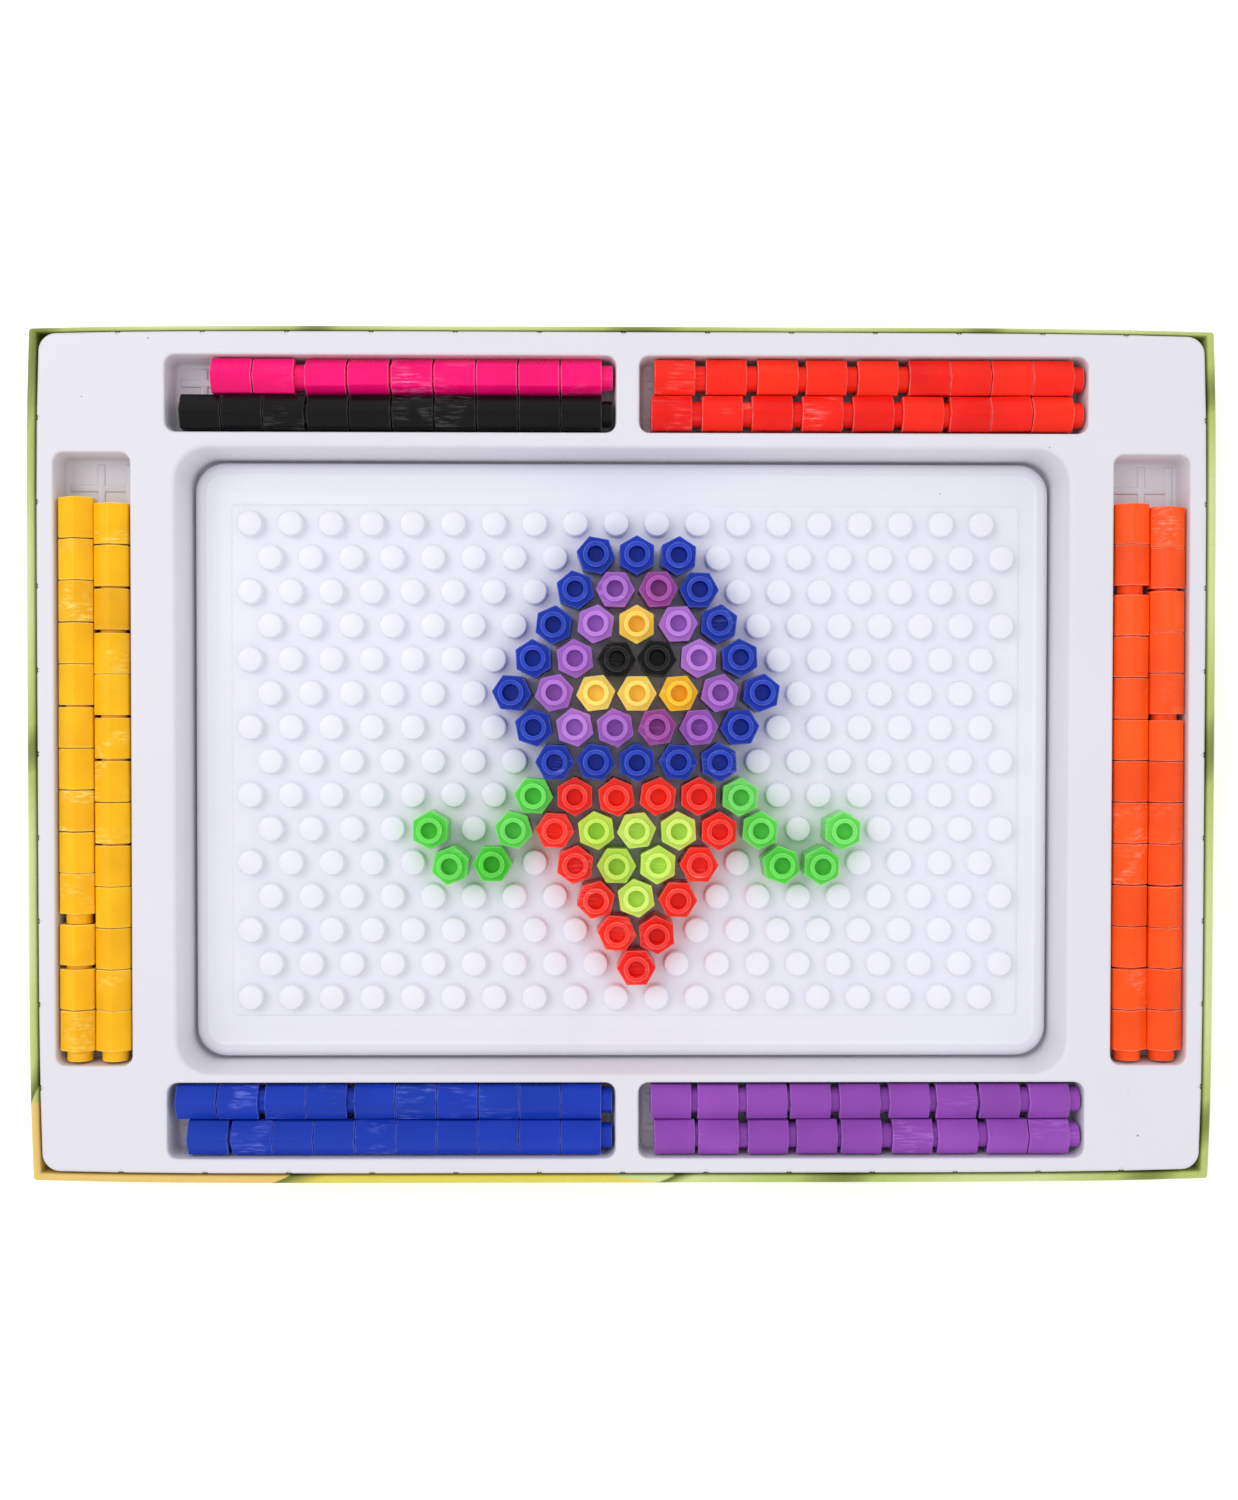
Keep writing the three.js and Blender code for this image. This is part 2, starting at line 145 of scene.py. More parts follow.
def colour(name, description, code):
    return FloatVectorProperty(
        name=name,
        description=description,
        default=srgb(code),
        subtype="COLOR",
        size=3,
        min=0,
        max=1,
    )


def bead_colour(name, code):
    return colour(name, f"Colour of the {name.lower()} beads", code)


class BeadSizes(bpy.types.PropertyGroup):
    """Sizes of a bead, its stud and its socket."""

    flats: length("Across flats", "Width of the bead across two flat sides", 10)
    body: length("Body length", "Length of the bead without its stud", 11.8)
    stud: length("Stud length", "Length of the round stud", 3.2)
    stud_width: length("Stud width", "Diameter of the round stud", 7.5)
    hole_width: length("Hole width", "Diameter of the hole down the stud", 5)
    hole_depth: length("Hole depth", "Depth of the hole from the stud's tip", 3.8)
    socket_width: length("Socket width", "Diameter of the socket", 8)
    socket_depth: length("Socket depth", "Depth of the socket", 4.2)
    corner: length("Corner rounding", "How far a corner of the hexagon is rounded back", 0.3)
    chamfer: length("End chamfer", "Chamfer round both ends of the body", 0.25)


class BoardSizes(bpy.types.PropertyGroup):
    """Sizes of the pegboard."""

    pitch: length("Peg spacing", "Distance between pegs in a row", 12)
    row_pitch: length("Row spacing", "Distance between two rows", 10.008)
    peg_width: length("Peg width", "Diameter of a peg", 7.5)
    peg_height: length("Peg height", "Height of a peg above the field", 3.5)
    field_shift: length("Field shift", "How far the pegs stand off the board's middle", 1)
    field_margin: length("Field margin", "Outermost peg centre to the field's edge", 5)
    field_step: length("Field step", "Height of the raised field", 0.4)
    corner: length("Corner radius", "Radius of the board's corners", 9)
    shoulder: length("Shoulder", "Radius of the rounded upper edge", 3.2)
    wall: length("Wall", "Wall thickness of the moulding", 1.8)


class TraySizes(bpy.types.PropertyGroup):
    """Sizes of the formed tray."""

    sheet: length("Sheet", "Thickness of the formed sheet", 0.7)
    corner: length("Corner radius", "Radius of the tray's own corners", 5)
    pocket_corner: length("Pocket corner", "Radius of a compartment's corners", 3)
    recess_corner: length("Recess corner", "Radius of the recess's corners", 9.5)
    lip: length("Pocket lip", "Rounding of a compartment's rim", 0.7)
    recess_lip: length("Recess lip", "Rounding of the recess's rim", 1.3)
    edge: length("Outer edge", "Rounding of the tray's outer edge", 1.1)
    floor_round: length("Floor rounding", "Rounding where a pocket's wall meets its floor", 1.2)
    rib_height: length("Rib height", "Height of the ribs on the compartment floors", 0.45)
    rib_width: length("Rib width", "Width of a rib", 2.3)
    rib_spacing: length("Rib spacing", "Distance between crossing ribs", 9.6)
    far_reach: length("Far reach", "How far the far edge presses into the box's wall", 1.4)
    flute_spacing: length("Flute spacing", "Distance between the flutes of the skirt", 24.4)
    flute_depth: length("Flute depth", "Depth of a flute", 0.7)
    flute_width: length("Flute width", "Width of a flute", 2)


class BoxSizes(bpy.types.PropertyGroup):
    """Sizes of the card box."""

    fold: length("Fold rounding", "Rounding of the folded upper edge", 1.05)
    corner: length("Corner rounding", "Rounding of the box's upright edges", 0.9)
    bow: length("Bow", "How far the walls pull in towards the corners", 1)
    far_share: FloatProperty(
        name="Far wall share",
        description="Thickness of the far wall beside the others",
        default=0.55,
    )


class KitColours(bpy.types.PropertyGroup):
    """Colours of the plastics and of the print."""

    pink: bead_colour("Pink", "F90E74")
    black: bead_colour("Black", "0B090B")
    red: bead_colour("Red", "F72916")
    yellow: bead_colour("Yellow", "F8B916")
    orange: bead_colour("Orange", "FD5616")
    blue: bead_colour("Blue", "1638AD")
    purple: bead_colour("Purple", "8E48AB")
    magenta: bead_colour("Pinkish purple", "9F489E")
    green: bead_colour("Green", "4FC336")
    lime: bead_colour("Lime", "BCDE50")
    tray: colour("Tray", "Colour of the formed tray", "DEDCE2")
    board: colour("Board", "Colour of the pegboard", "ECEBF4")
    leaf: colour("Leaf green", "Main green of the printed wrap", "AEBD62")
    leaf_dark: colour("Dark green", "Dark green of the printed wrap", "66701E")
    leaf_pale: colour("Pale green", "Pale green of the printed wrap", "CAD68E")
    sun: colour("Yellow print", "Yellow of the printed wrap", "DCCC50")
    ochre: colour("Ochre print", "Warmer yellow at one corner of the wrap", "E3BC6C")
    card: colour("Card", "Colour of the bare card under the box", "B9B2A6")


# ---------------------------------------------------------------- layout


class Layout:
    """Where the compartments, the recess and the pegs are, worked out from the frame."""

    def __init__(self, scene):
        self.bead = scene.kit_bead
        self.board = scene.kit_board
        self.tray = scene.kit_tray
        low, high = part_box("tray_insert")
        self.tray_low, self.tray_high = low, high
        self.rim = high.z
        self.board_low, self.board_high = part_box("pegboard")
        self.peg_base = self.board_high.z - self.board.peg_height
        self.lean = 0.08

    def board_middle(self):
        return (self.board_low + self.board_high) / 2

    def peg(self, row, step):
        """The place of a peg's foot: its row from the +Y side and its step from the middle."""
        middle = self.board_middle()
        return Vector(
            (
                middle.x + self.board.field_shift + self.board.pitch * (0.25 + step),
                middle.y + self.board.row_pitch * (MIDDLE_ROW - row),
                self.peg_base,
            )
        )

    def compartments(self):
        """Each compartment's middle, its length along X and width along Y, and its floor."""
        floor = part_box("black_stick")[0].z - 0.8 * MM
        half = self.bead.flats + 0.45 * MM + self.lean * (self.rim - floor - 3.7 * MM)
        stud_end = 0.6 * MM + self.lean * (self.rim - floor - 6.57 * MM)
        socket_end = stud_end + 1.3 * MM
        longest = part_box("blue_stick_far")
        row = (longest[1].x - longest[0].x) + stud_end + socket_end
        places = []
        for a, b in (
            ("pink_stick", "black_stick"),
            ("red_stick_far", "red_stick_near"),
            ("blue_stick_far", "blue_stick_near"),
            ("purple_stick_far", "purple_stick_near"),
        ):
            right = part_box(a)[1].x + stud_end
            y = (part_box(a)[0].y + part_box(b)[1].y) / 2
            places.append((Vector((right - row / 2, y)), row, 2 * half, floor))
        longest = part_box("yellow_stick_outer")
        side = (longest[1].y - longest[0].y) + stud_end + socket_end + 10.5 * MM
        for a, b in (
            ("yellow_stick_outer", "yellow_stick_inner"),
            ("orange_stick_inner", "orange_stick_outer"),
        ):
            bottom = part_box(a)[0].y - stud_end
            x = (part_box(a)[1].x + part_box(b)[0].x) / 2
            places.append((Vector((x, bottom + side / 2)), 2 * half, side, floor))
        return places

    def recess(self):
        """The recess's middle, its length and width at the rim, and its floor."""
        floor = self.board_low.z - 0.3 * MM
        spare = 2 * (0.5 * MM + self.lean * (self.rim - floor))
        size = self.board_high - self.board_low
        middle = self.board_middle()
        return Vector((middle.x, middle.y)), size.x + spare, size.y + spare, floor

    def bowed(self, x, y, bow):
        """A point of the box's wall or the tray's edge, pulled in where it nears a corner."""
        across = min(1, abs(x) / self.tray_high.x)
        along = min(1, abs(y) / self.tray_high.y)
        return (
            x * (1 - bow / self.tray_high.x * along**6),
            y * (1 - bow / self.tray_high.y * across**6),
        )


# ---------------------------------------------------------------- shader helpers


def shared_group(name, inputs, outputs, fill):
    """The node group of that name, made and filled at its first use. Colours are tuples."""
    if name in bpy.data.node_groups:
        return bpy.data.node_groups[name]
    group = bpy.data.node_groups.new(name, "ShaderNodeTree")
    for in_out, sockets in (("INPUT", inputs), ("OUTPUT", outputs)):
        for key, value in sockets.items():
            kind = "NodeSocketColor" if isinstance(value, tuple) else "NodeSocketFloat"
            made = group.interface.new_socket(key, in_out=in_out, socket_type=kind)
            made.default_value = value
    given = node(group, "NodeGroupInput").outputs
    fill(group, given, own_place(group), node(group, "NodeGroupOutput").inputs)
    return group


def node(tree, kind, **settings):
    made = tree.nodes.new(kind)
    for key, value in settings.items():
        setattr(made, key, value)
    return made


def feed(tree, target, source):
    """Sets a socket to a plain value, or links another socket to it."""
    if isinstance(source, bpy.types.NodeSocket):
        tree.links.new(source, target)
    else:
        target.default_value = source


def preset(made, values):
    """Sets several of a node's inputs to plain values."""
    for key, value in values.items():
        made.inputs[key].default_value = value


def noise(tree, vector, scale, detail=3.0, rough=0.5):
    made = node(tree, "ShaderNodeTexNoise")
    feed(tree, made.inputs["Vector"], vector)
    preset(made, {"Scale": scale, "Detail": detail, "Roughness": rough})
    return made.outputs["Fac"]


def spread(tree, value, low, high, out_low=0.0, out_high=1.0):
    """Maps value from low..high to out_low..out_high, and holds it there."""
    made = node(tree, "ShaderNodeMapRange", clamp=True)
    feed(tree, made.inputs["Value"], value)
    preset(made, {"From Min": low, "From Max": high, "To Min": out_low, "To Max": out_high})
    return made.outputs["Result"]


def maths(tree, operation, a, b=0.0):
    made = node(tree, "ShaderNodeMath", operation=operation)
    feed(tree, made.inputs[0], a)
    feed(tree, made.inputs[1], b)
    return made.outputs["Value"]


def times(tree, a, b):
    return maths(tree, "MULTIPLY", a, b)


def own_place(tree):
    """The place in the object's own coordinates."""
    return node(tree, "ShaderNodeTexCoord").outputs["Object"]


def mixed(tree, factor, a, b, blend="MIX"):
    made = node(tree, "ShaderNodeMix", data_type="RGBA", blend_type=blend)
    feed(tree, made.inputs["Factor"], factor)
    feed(tree, made.inputs["A"], a if isinstance(a, bpy.types.NodeSocket) else (*a, 1))
    feed(tree, made.inputs["B"], b if isinstance(b, bpy.types.NodeSocket) else (*b, 1))
    return made.outputs["Result"]


def fill_moulded_surface(group, given, place, out):
    cloud = node(group, "ShaderNodeTexNoise")
    feed(group, cloud.inputs["Vector"], place)
    feed(group, cloud.inputs["Scale"], given["Grain"])
    cloud.inputs["Detail"].default_value = 2
    drift = spread(group, cloud.outputs["Fac"], 0.3, 0.7, -1, 1)
    amount = times(group, drift, given["Tint"])
    value = maths(group, "ADD", amount, 1.0)
    shade = node(group, "ShaderNodeHueSaturation")
    feed(group, shade.inputs["Color"], given["Colour"])
    feed(group, shade.inputs["Value"], value)

    stretch = node(group, "ShaderNodeMapping")
    feed(group, stretch.inputs["Vector"], place)
    preset(stretch, {"Rotation": (0.4, 0.7, 0.5), "Scale": (1, 14, 5)})
    lines = noise(group, stretch.outputs["Vector"], 260, 2, 0.6)
    scratch = spread(group, lines, 0.62, 0.7)
    marks = spread(group, noise(group, place, 170, 4, 0.6), 0.45, 0.75)
    scratch = times(group, times(group, scratch, marks), given["Scratches"])
    rough = maths(group, "ADD", given["Gloss"], times(group, marks, 0.12))
    rough = maths(group, "ADD", rough, times(group, scratch, 0.5))

    wave = noise(group, place, 45, 1, 0.4)
    height = maths(group, "SUBTRACT", times(group, wave, 0.6), scratch)

    feed(group, out["Colour"], shade.outputs["Color"])
    feed(group, out["Roughness"], rough)
    feed(group, out["Height"], height)


def moulded_surface():
    """Node group of moulded plastic: flow tint, handling marks and fine scratches."""
    grey = (0.8, 0.8, 0.8, 1)
    inputs = {"Colour": grey, "Tint": 0.06, "Gloss": 0.3, "Scratches": 0.3, "Grain": 60.0}
    outputs = {"Colour": grey, "Roughness": 0.5, "Height": 0.0}
    return shared_group("Moulded surface", inputs, outputs, fill_moulded_surface)


def fill_specks(group, given, place, out):
    cells = node(group, "ShaderNodeTexVoronoi", feature="F1")
    feed(group, cells.inputs["Vector"], place)
    feed(group, cells.inputs["Scale"], given["Spacing"])
    near = maths(group, "LESS_THAN", cells.outputs["Distance"], given["Size"])
    pick = node(group, "ShaderNodeSeparateColor")
    feed(group, pick.inputs["Color"], cells.outputs["Color"])
    chosen = maths(group, "GREATER_THAN", pick.outputs["Red"], 0.72)
    feed(group, out["Mask"], times(group, near, chosen))


def specks():
    """Node group of stray dark specks: a mask that is 1 on a speck."""
    inputs = {"Spacing": 25.0, "Size": 0.012}
    return shared_group("Stray specks", inputs, {"Mask": 0.0}, fill_specks)


def bare_material(name):
    material = bpy.data.materials.new(name)
    material.use_nodes = True
    tree = material.node_tree
    shader = tree.nodes["Principled BSDF"]
    return material, tree, shader


def bump(tree, shader, height, distance, strength):
    made = node(tree, "ShaderNodeBump")
    feed(tree, made.inputs["Height"], height)
    preset(made, {"Distance": distance, "Strength": strength})
    feed(tree, shader.inputs["Normal"], made.outputs["Normal"])


def bead_plastic(name, rgb, glow):
    """Semi-gloss moulded plastic of a bead: paler edges, partly wear and partly painted highlight,
    and scuffs on some of the beads.
    """
    _, tree, shader = bare_material(name)
    tone, worn, wear = (
        node(tree, "ShaderNodeAttribute", attribute_name=key).outputs["Fac"]
        for key in ("tone", "worn", "wear")
    )
    place = own_place(tree)
    surface = node(tree, "ShaderNodeGroup", node_tree=moulded_surface())
    toned = node(tree, "ShaderNodeHueSaturation")
    toned.inputs["Color"].default_value = (*rgb, 1)
    feed(tree, toned.inputs["Value"], spread(tree, tone, -1.5, 1.5, 0.87, 1.13))
    feed(tree, toned.inputs["Hue"], spread(tree, tone, -1.5, 1.5, 0.497, 0.503))
    grain = noise(tree, place, 330, 3)
    # Pale bands on the chamfers and ring top: partly wear, partly painted highlight where they
    # catch the light.
    wear_and_highlight = times(tree, worn, spread(tree, grain, 0.3, 0.7, 0.15, 0.42))
    streaks = node(tree, "ShaderNodeMapping")
    feed(tree, streaks.inputs["Vector"], place)
    preset(streaks, {"Rotation": (0, 0, 0.12), "Scale": (0.4, 3.2, 1.4)})
    scuff = spread(tree, noise(tree, streaks.outputs["Vector"], 420, 4, 0.62), 0.48, 0.8)
    patch = spread(tree, noise(tree, place, 110, 1), 0.45, 0.6)
    scuffed = times(tree, spread(tree, wear, 0.6, 0.95, 0, 0.9), patch)
    wear_and_highlight = maths(tree, "MAXIMUM", wear_and_highlight, times(tree, scuff, scuffed))
    # Beads lifted in tone past 1.5, those set paler on the board, are mixed further towards the
    # pale colour.
    wear_and_highlight = maths(tree, "ADD", wear_and_highlight, spread(tree, tone, 1.5, 3, 0, 0.5))
    pale = tuple(min(1, 1.6 * c + 0.12 + 0.25 * max(rgb)) for c in rgb)
    feed(tree, surface.inputs["Colour"], mixed(tree, wear_and_highlight, toned.outputs["Color"], pale))
    preset(surface, {"Tint": 0.08, "Gloss": 0.22, "Scratches": 0.7, "Grain": 75})
    feed(tree, shader.inputs["Base Color"], surface.outputs["Colour"])
    feed(tree, shader.inputs["Roughness"], surface.outputs["Roughness"])
    bump(tree, shader, surface.outputs["Height"], 0.0001, 0.6)
    preset(shader, {
        "IOR": 1.45,
        "Specular IOR Level": 0.18,
        "Subsurface Weight": glow,
        "Subsurface Radius": (1.0, 0.8, 0.8),
        "Subsurface Scale": 0.0012,
    })


def white_plastic(name, rgb, gloss, wave, marks):
    """White plastic with faint clouding, a few stray specks, and the marks of (x, y, radius)."""
    _, tree, shader = bare_material(name)
    place = own_place(tree)
    surface = node(tree, "ShaderNodeGroup", node_tree=moulded_surface())
    preset(surface, {
        "Colour": (*rgb, 1),
        "Tint": 0.02,
        "Gloss": gloss,
        "Scratches": 0.25,
        "Grain": 14,
    })
    dots = node(tree, "ShaderNodeGroup", node_tree=specks())
    preset(dots, {"Spacing": 26, "Size": 0.009})
    dark = dots.outputs["Mask"]
    flat = node(tree, "ShaderNodeVectorMath", operation="MULTIPLY")
    feed(tree, flat.inputs[0], place)
    flat.inputs[1].default_value = (1, 1, 0)
    for x, y, radius in marks:
        reach = node(tree, "ShaderNodeVectorMath", operation="DISTANCE")
        feed(tree, reach.inputs[0], flat.outputs["Vector"])
        reach.inputs[1].default_value = (x * MM, y * MM, 0)
        spot = maths(tree, "LESS_THAN", reach.outputs["Value"], radius * MM)
        dark = maths(tree, "MAXIMUM", dark, spot)
    shown = mixed(tree, times(tree, dark, 0.8), surface.outputs["Colour"], srgb("6E6870"))
    feed(tree, shader.inputs["Base Color"], shown)
    feed(tree, shader.inputs["Roughness"], surface.outputs["Roughness"])
    bump(tree, shader, surface.outputs["Height"], wave, 0.5)
    shader.inputs["IOR"].default_value = 1.45


def printed_paper(colours):
    """Satin paper wrap with soft overlapping leaf shapes in greens and yellow."""
    material, tree, shader = bare_material("printed_paper")
    place = own_place(tree)
    warp = node(tree, "ShaderNodeMapping")
    feed(tree, warp.inputs["Vector"], place)
    warp.inputs["Rotation"].default_value = (0, 0, 0.7)
    leaves = node(tree, "ShaderNodeTexWave", wave_type="BANDS", bands_direction="X")
    feed(tree, leaves.inputs["Vector"], warp.outputs["Vector"])
    preset(leaves, {"Scale": 4.5, "Distortion": 5, "Detail": 2, "Detail Scale": 1.5})
    fold = leaves.outputs["Fac"]
    green = mixed(tree, spread(tree, fold, 0.15, 0.9), colours.leaf, colours.leaf_pale)
    edge = spread(tree, fold, 0.0, 0.1, 1, 0)
    green = mixed(tree, times(tree, edge, 0.8), green, colours.leaf_dark)

    axes = node(tree, "ShaderNodeSeparateXYZ")
    feed(tree, axes.inputs["Vector"], place)
    x, y = axes.outputs["X"], axes.outputs["Y"]
    slant = maths(tree, "ADD", times(tree, x, 0.13), y)
    sunny = spread(tree, slant, -0.1221, -0.1227)
    warm = times(tree, spread(tree, x, -0.097, -0.1), 0.8)
    yellow = mixed(tree, warm, colours.sun, colours.ochre)
    shown = mixed(tree, sunny, green, yellow)
    for across, along, side, start, end in (
        (x, y, -0.171, -0.1, -0.09),
        (y, x, -0.123, -0.1, -0.088),
        (y, x, -0.123, 0.012, 0.019),
    ):
        lean = times(tree, maths(tree, "SUBTRACT", across, side), 2.4)
        run = maths(tree, "SUBTRACT", along, lean)
        leaf = times(
            tree,
            spread(tree, run, start, start + 0.0008),
            spread(tree, run, end, start + 0.002),
        )
        near = maths(tree, "LESS_THAN", across, side + 0.01)
        shown = mixed(tree, times(tree, leaf, near), shown, colours.leaf_dark)
    fibres = spread(tree, noise(tree, place, 900, 2), 0.3, 0.7, 0.97, 1.03)
    tone = node(tree, "ShaderNodeHueSaturation")
    feed(tree, tone.inputs["Color"], shown)
    feed(tree, tone.inputs["Value"], fibres)
    feed(tree, shader.inputs["Base Color"], tone.outputs["Color"])
    sheen = spread(tree, noise(tree, place, 120), 0.3, 0.7, 0.4, 0.5)
    feed(tree, shader.inputs["Roughness"], sheen)
    bump(tree, shader, noise(tree, place, 700, 2), 0.00004, 0.4)
    return material


def bare_card(colours):
    """Grey-brown card of the box's underside."""
    material, tree, shader = bare_material("bare_card")
    place = own_place(tree)
    flecks = spread(tree, noise(tree, place, 420, 5, 0.7), 0.35, 0.7)
    dark = tuple(c * 0.72 for c in colours.card)
    feed(tree, shader.inputs["Base Color"], mixed(tree, flecks, colours.card, dark))
    shader.inputs["Roughness"].default_value = 0.85
    bump(tree, shader, noise(tree, place, 800, 3), 0.00005, 0.5)
    return material


# ---------------------------------------------------------------- mesh helpers


def finish_piece(name, mesh_maker, materials, body, replaced=(), sharp=35):
    """Makes the bmesh an object, shades it, ties it to its body, and hides the CAD nodes that it
    replaces.
    """
    bmesh.ops.remove_doubles(mesh_maker, verts=mesh_maker.verts, dist=1e-7)
    mesh = bpy.data.meshes.new(name)
    mesh_maker.to_mesh(mesh)
    mesh_maker.free()
    for material in materials:
        mesh.materials.append(material)
    mesh.shade_smooth()
    mesh.set_sharp_from_angle(angle=math.radians(sharp))
    piece = bpy.data.objects.new(name, mesh)
    bpy.context.scene.collection.objects.link(piece)
    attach(piece, body)
    if replaced:
        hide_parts(*replaced)
    return piece


def ring(bm, points):
    """A closed loop of edges through the points."""
    verts = [bm.verts.new(p) for p in points]
    return [bm.edges.new((a, b)) for a, b in zip(verts, verts[1:] + verts[:1])]


def step_ring(bm, edges, inset, drop):
    """Extrudes a closed loop inwards by inset and down by drop, and returns the new loop."""
    made = bmesh.ops.extrude_edge_only(bm, edges=edges)["geom"]
    verts = {g for g in made if isinstance(g, bmesh.types.BMVert)}
    new_edges = [
        g for g in made if isinstance(g, bmesh.types.BMEdge) and verts.issuperset(g.verts)
    ]
    next_to = {v: [] for v in verts}
    for edge in new_edges:
        a, b = edge.verts
        next_to[a].append(b)
        next_to[b].append(a)
    middle = sum((v.co for v in verts), Vector()) / len(verts)
    moved = {}
    for vert, (a, b) in next_to.items():
        along = b.co - a.co
        inward = Vector((-along.y, along.x, 0)).normalized()
        if inward.dot(middle - vert.co) < 0:
            inward.negate()
        moved[vert] = vert.co + inward * inset - Vector((0, 0, drop))
    for vert, place in moved.items():
        vert.co = place
    return new_edges


def round_over(bm, edges, radius, steps, outward=False):
    """A quarter round from flat to upright: over a rim inwards, or over an outer edge outwards."""
    sign = -1 if outward else 1
    for i in range(steps):
        a, b = (math.pi / 2 * k / steps for k in (i, i + 1))
        inset = sign * radius * (math.sin(b) - math.sin(a))
        edges = step_ring(bm, edges, inset, radius * (math.cos(a) - math.cos(b)))
    return edges


def round_under(bm, edges, radius, steps):
    """A quarter round from upright to flat, where a wall meets its floor."""
    for i in range(steps):
        a, b = (math.pi / 2 * k / steps for k in (i, i + 1))
        edges = step_ring(
            bm, edges, radius * (math.cos(a) - math.cos(b)), radius * (math.sin(b) - math.sin(a))
        )
    return edges


def rounded_rectangle(middle, length_x, width_y, radius, z, steps=8):
    points = []
    for corner in range(4):
        towards_x = 1 if corner in (0, 3) else -1
        towards_y = 1 if corner < 2 else -1
        for step in range(steps + 1):
            angle = (corner + step / steps) * math.pi / 2
            points.append(
                Vector(
                    (
                        middle.x + towards_x * (length_x / 2 - radius) + radius * math.cos(angle),
                        middle.y + towards_y * (width_y / 2 - radius) + radius * math.sin(angle),
                        z,
                    )
                )
            )
    return points


def lofted(bm, loops):
    """Joins loops of equally many points with quads, and returns the first and last rows."""
    rows = [[bm.verts.new(p) for p in loop] for loop in loops]
    for lower, upper in zip(rows, rows[1:]):
        for i, vert in enumerate(lower):
            bm.faces.new((vert, lower[i - 1], upper[i - 1], upper[i]))
    return rows[0], rows[-1]


def block(bm, low, high):
    """A box from its low corner to its high corner, and its faces."""
    made = bmesh.ops.create_cube(bm, size=1)
    size = high - low
    bmesh.ops.scale(bm, vec=size, verts=made["verts"])
    bmesh.ops.translate(bm, vec=(low + high) / 2, verts=made["verts"])
    return list({f for v in made["verts"] for f in v.link_faces})


def template_mesh(bm, name):
    """Turns the normals out and makes the bmesh a mesh."""
    bmesh.ops.recalc_face_normals(bm, faces=bm.faces)
    mesh = bpy.data.meshes.new(name)
    bm.to_mesh(mesh)
    bm.free()
    return mesh


def placed_copies(template, matrices, rng=None, lift=0.0):
    """One bmesh with a copy of the template at each matrix, each with its own tone and wear."""
    bm = bmesh.new()
    for matrix in matrices:
        start = len(bm.verts)
        bm.from_mesh(template)
        bm.verts.ensure_lookup_table()
        bmesh.ops.transform(bm, matrix=matrix, verts=bm.verts[start:])
    if rng:
        tone = bm.faces.layers.float.new("tone")
        wear = bm.faces.layers.float.new("wear")
        marks = [(lift + rng.gauss(0, 0.4), rng.random()) for matrix in matrices]
        for i, face in enumerate(bm.faces):
            face[tone], face[wear] = marks[i // len(template.polygons)]
    return bm


# ---------------------------------------------------------------- beads


def hexagon(apothem, corner, z):
    """A hexagon with rounded corners, three points to each, and the first towards +Y."""
    points = []
    for i in range(6):
        angle = math.pi / 2 + TAU * i / 6
        out = Vector((math.cos(angle), math.sin(angle), 0))
        side = Vector((-out.y, out.x, 0))
        tip = out * apothem / math.cos(TAU / 12)
        for share in (-1, 0, 1):
            reach = corner * (0.5 if share else 0.27)
            points.append(tip - out * reach + side * share * corner * 0.866 + Vector((0, 0, z)))
    return points


def circle(radius, z, count=BEAD_POINTS):
    """Even points round the Z axis that pair with those of a hexagon."""
    turns = [math.pi / 2 + TAU * (i - 1) / count for i in range(count)]
    return [Vector((radius * math.cos(a), radius * math.sin(a), z)) for a in turns]


def bead_mesh(sizes):
    """One bead that stands on the origin with its stud up and a corner towards +Y."""
    half, body, corner, cut = sizes.flats / 2, sizes.body, sizes.corner, sizes.chamfer
    stud, hole, socket = sizes.stud_width / 2, sizes.hole_width / 2, sizes.socket_width / 2
    tip = body + sizes.stud
    mouth, taper = 0.15 * MM, 0.5 * MM
    # each loop, and how pale the band of faces up to the next one is made: partly wear, partly
    # painted highlight where the chamfers and the ring top catch the light
    section = (
        (circle(socket, sizes.socket_depth), 0),
        (circle(socket, 0), 0.1),
        (hexagon(half - cut, corner, 0), 1),
        (hexagon(half, corner, cut), 0),
        (hexagon(half, corner, body - cut), 1),
        (hexagon(half - cut, corner, body), 0.05),
        (circle(stud, body), 0),
        (circle(stud, tip - cut), 1),
        (circle(stud - cut, tip), 0.2),
        (circle(hole + mouth, tip), 0.9),
        (circle(hole, tip - mouth), 0),
        (circle(hole, tip - sizes.hole_depth + taper), 0),
        (circle(0.86 * hole, tip - sizes.hole_depth), 0),
    )
    bm = bmesh.new()
    worn = bm.faces.layers.float.new("worn")
    for row in lofted(bm, [loop for loop, share in section]):
        bm.faces.new(row)
    bm.faces.ensure_lookup_table()
    for i, face in enumerate(bm.faces[:-2]):
        face[worn] = section[i // BEAD_POINTS][1]
    return template_mesh(bm, "bead_template")


def bead_material(context, colour_name):
    name = "moulded_" + colour_name
    if name not in bpy.data.materials:
        rgb = tuple(getattr(context.scene.kit_colours, colour_name))
        bead_plastic(name, rgb, 0.0 if colour_name in DENSE else 0.35)
    return bpy.data.materials[name]


def board_beads():
    """For each CAD node of the figure, its colour and the pegs that its beads stand on."""
    counts = {}
    nodes = {}
    for row, first, letters, turns in FIGURE:
        for i, letter in enumerate(letters):
            if letter == ".":
                continue
            name, step = LETTERS[letter], first + i
            if name == "lime":
                key = "lime_bead_patch"
            elif name == "red":
                key = "red_bead_patch_left" if step <= 0 else "red_bead_patch_right"
            elif name == "blue" and row == 8:
                key = "blue_bead_row"
            else:
                counts[name] = counts.get(name, 0) + 1
                key = f"{name}_bead_{counts[name]:02d}"
            nodes.setdefault(key, (name, []))[1].append((row, step, turns[i]))
    return nodes


